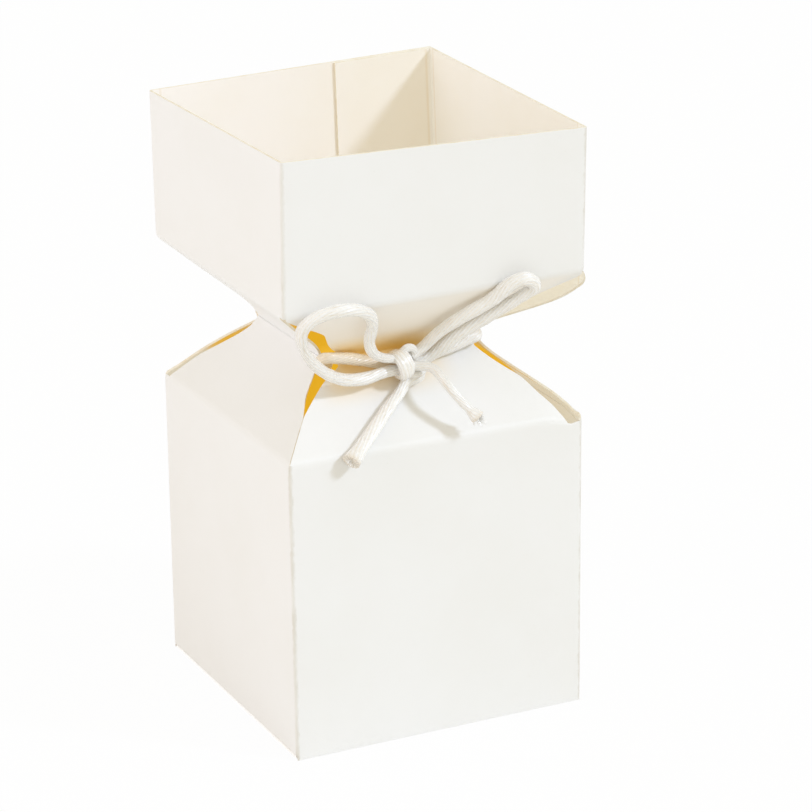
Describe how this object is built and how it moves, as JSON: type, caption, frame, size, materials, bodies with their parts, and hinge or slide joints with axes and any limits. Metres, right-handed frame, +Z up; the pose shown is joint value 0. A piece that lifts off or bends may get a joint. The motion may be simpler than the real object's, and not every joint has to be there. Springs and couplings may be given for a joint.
{
  "type": "favor box",
  "caption": "Square paperboard favor box with a drawn-in waist and an open collar, tied at the waist by a satin cord in a bow.",
  "frame": {"origin": "middle of the base, on the surface that the box stands on", "axes": "+Z up through the collar, -Y towards the front with the bow, +X to the right seen from the front"},
  "size_m": [0.0636, 0.0679, 0.1215],
  "materials": {
    "board": "matt, faintly mottled",
    "cord": "satin, fine lengthwise threads"
  },
  "bodies": {
    "lower_box": {"front_wall": "board", "left_wall": "board", "back_wall": "board", "right_wall": "board", "lower_glue_flap": "board"},
    "front_lower_taper": {"front_lower_taper": "board", "cord_wrap_front": "cord"},
    "front_upper_taper": {"front_upper_taper": "board"},
    "right_lower_taper": {"right_lower_taper": "board"},
    "right_upper_taper": {"right_upper_taper": "board"},
    "back_lower_taper": {"back_lower_taper": "board", "cord_wrap_back": "cord"},
    "back_upper_taper": {"back_upper_taper": "board"},
    "left_lower_taper": {"left_lower_taper": "board"},
    "left_upper_taper": {"left_upper_taper": "board"},
    "collar": {"collar_front": "board", "collar_left": "board", "collar_back": "board", "collar_right": "board", "collar_glue_flap": "board"},
    "bow": {"bow_knot": "cord", "bow_loop_left": "cord", "bow_loop_right": "cord", "bow_tail_left": "cord", "bow_tail_right": "cord"},
    "base_flap": {"base_flap": "board"},
    "base_tuck_flap": {"base_tuck_flap": "board"},
    "dust_flap_left": {"dust_flap_left": "board"},
    "dust_flap_right": {"dust_flap_right": "board"}
  },
  "joints": [
    {"name": "front_lower_fold", "type": "hinge", "parent": "lower_box", "child": "front_lower_taper", "pos_m": [0, -0.03175, 0.0618], "axis": [1, 0, 0], "range_deg": [0, 45], "deforming": ["cord_wrap_front"]},
    {"name": "front_waist_fold", "type": "hinge", "parent": "front_lower_taper", "child": "front_upper_taper", "pos_m": [0, -0.01626, 0.07658], "axis": [1, 0, 0], "range_deg": [-90, 0]},
    {"name": "right_lower_fold", "type": "hinge", "parent": "lower_box", "child": "right_lower_taper", "pos_m": [0.03175, 0, 0.0618], "axis": [0, 1, 0], "range_deg": [0, 45]},
    {"name": "right_waist_fold", "type": "hinge", "parent": "right_lower_taper", "child": "right_upper_taper", "pos_m": [0.01626, 0, 0.07658], "axis": [0, 1, 0], "range_deg": [-90, 0]},
    {"name": "back_lower_fold", "type": "hinge", "parent": "lower_box", "child": "back_lower_taper", "pos_m": [0, 0.03175, 0.0618], "axis": [-1, 0, 0], "range_deg": [0, 45], "deforming": ["cord_wrap_back"]},
    {"name": "back_waist_fold", "type": "hinge", "parent": "back_lower_taper", "child": "back_upper_taper", "pos_m": [0, 0.01626, 0.07658], "axis": [-1, 0, 0], "range_deg": [-90, 0]},
    {"name": "left_lower_fold", "type": "hinge", "parent": "lower_box", "child": "left_lower_taper", "pos_m": [-0.03175, 0, 0.0618], "axis": [0, -1, 0], "range_deg": [0, 45]},
    {"name": "left_waist_fold", "type": "hinge", "parent": "left_lower_taper", "child": "left_upper_taper", "pos_m": [-0.01626, 0, 0.07658], "axis": [0, -1, 0], "range_deg": [-90, 0]},
    {"name": "collar_fold", "type": "hinge", "parent": "front_upper_taper", "child": "collar", "pos_m": [0, -0.03175, 0.09136], "axis": [1, 0, 0], "range_deg": [0, 45]},
    {"name": "bow_hang", "type": "hinge", "parent": "front_lower_taper", "child": "bow", "pos_m": [0, -0.01626, 0.07658], "axis": [1, 0, 0], "range_deg": [-45, 0], "deforming": ["bow_tail_left", "bow_tail_right"]},
    {"name": "base_fold", "type": "hinge", "parent": "lower_box", "child": "base_flap", "pos_m": [0, 0.03175, 0], "axis": [1, 0, 0], "range_deg": [0, 110]},
    {"name": "tuck_fold", "type": "hinge", "parent": "base_flap", "child": "base_tuck_flap", "pos_m": [0, -0.03037, 0.0005], "axis": [-1, 0, 0], "range_deg": [0, 45]},
    {"name": "dust_fold_left", "type": "hinge", "parent": "lower_box", "child": "dust_flap_left", "pos_m": [-0.03125, 0, 0.00115], "axis": [0, -1, 0], "range_deg": [0, 85]},
    {"name": "dust_fold_right", "type": "hinge", "parent": "lower_box", "child": "dust_flap_right", "pos_m": [0.03125, 0, 0.00115], "axis": [0, 1, 0], "range_deg": [0, 85]}
  ],
  "couplings": [
    {"joint": "front_waist_fold", "follows": "front_lower_fold", "ratio": -2},
    {"joint": "right_lower_fold", "follows": "front_lower_fold", "ratio": 1},
    {"joint": "right_waist_fold", "follows": "front_lower_fold", "ratio": -2},
    {"joint": "back_lower_fold", "follows": "front_lower_fold", "ratio": 1},
    {"joint": "back_waist_fold", "follows": "front_lower_fold", "ratio": -2},
    {"joint": "left_lower_fold", "follows": "front_lower_fold", "ratio": 1},
    {"joint": "left_waist_fold", "follows": "front_lower_fold", "ratio": -2},
    {"joint": "collar_fold", "follows": "front_lower_fold", "ratio": 1},
    {"joint": "bow_hang", "follows": "front_lower_fold", "ratio": -1}
  ]
}
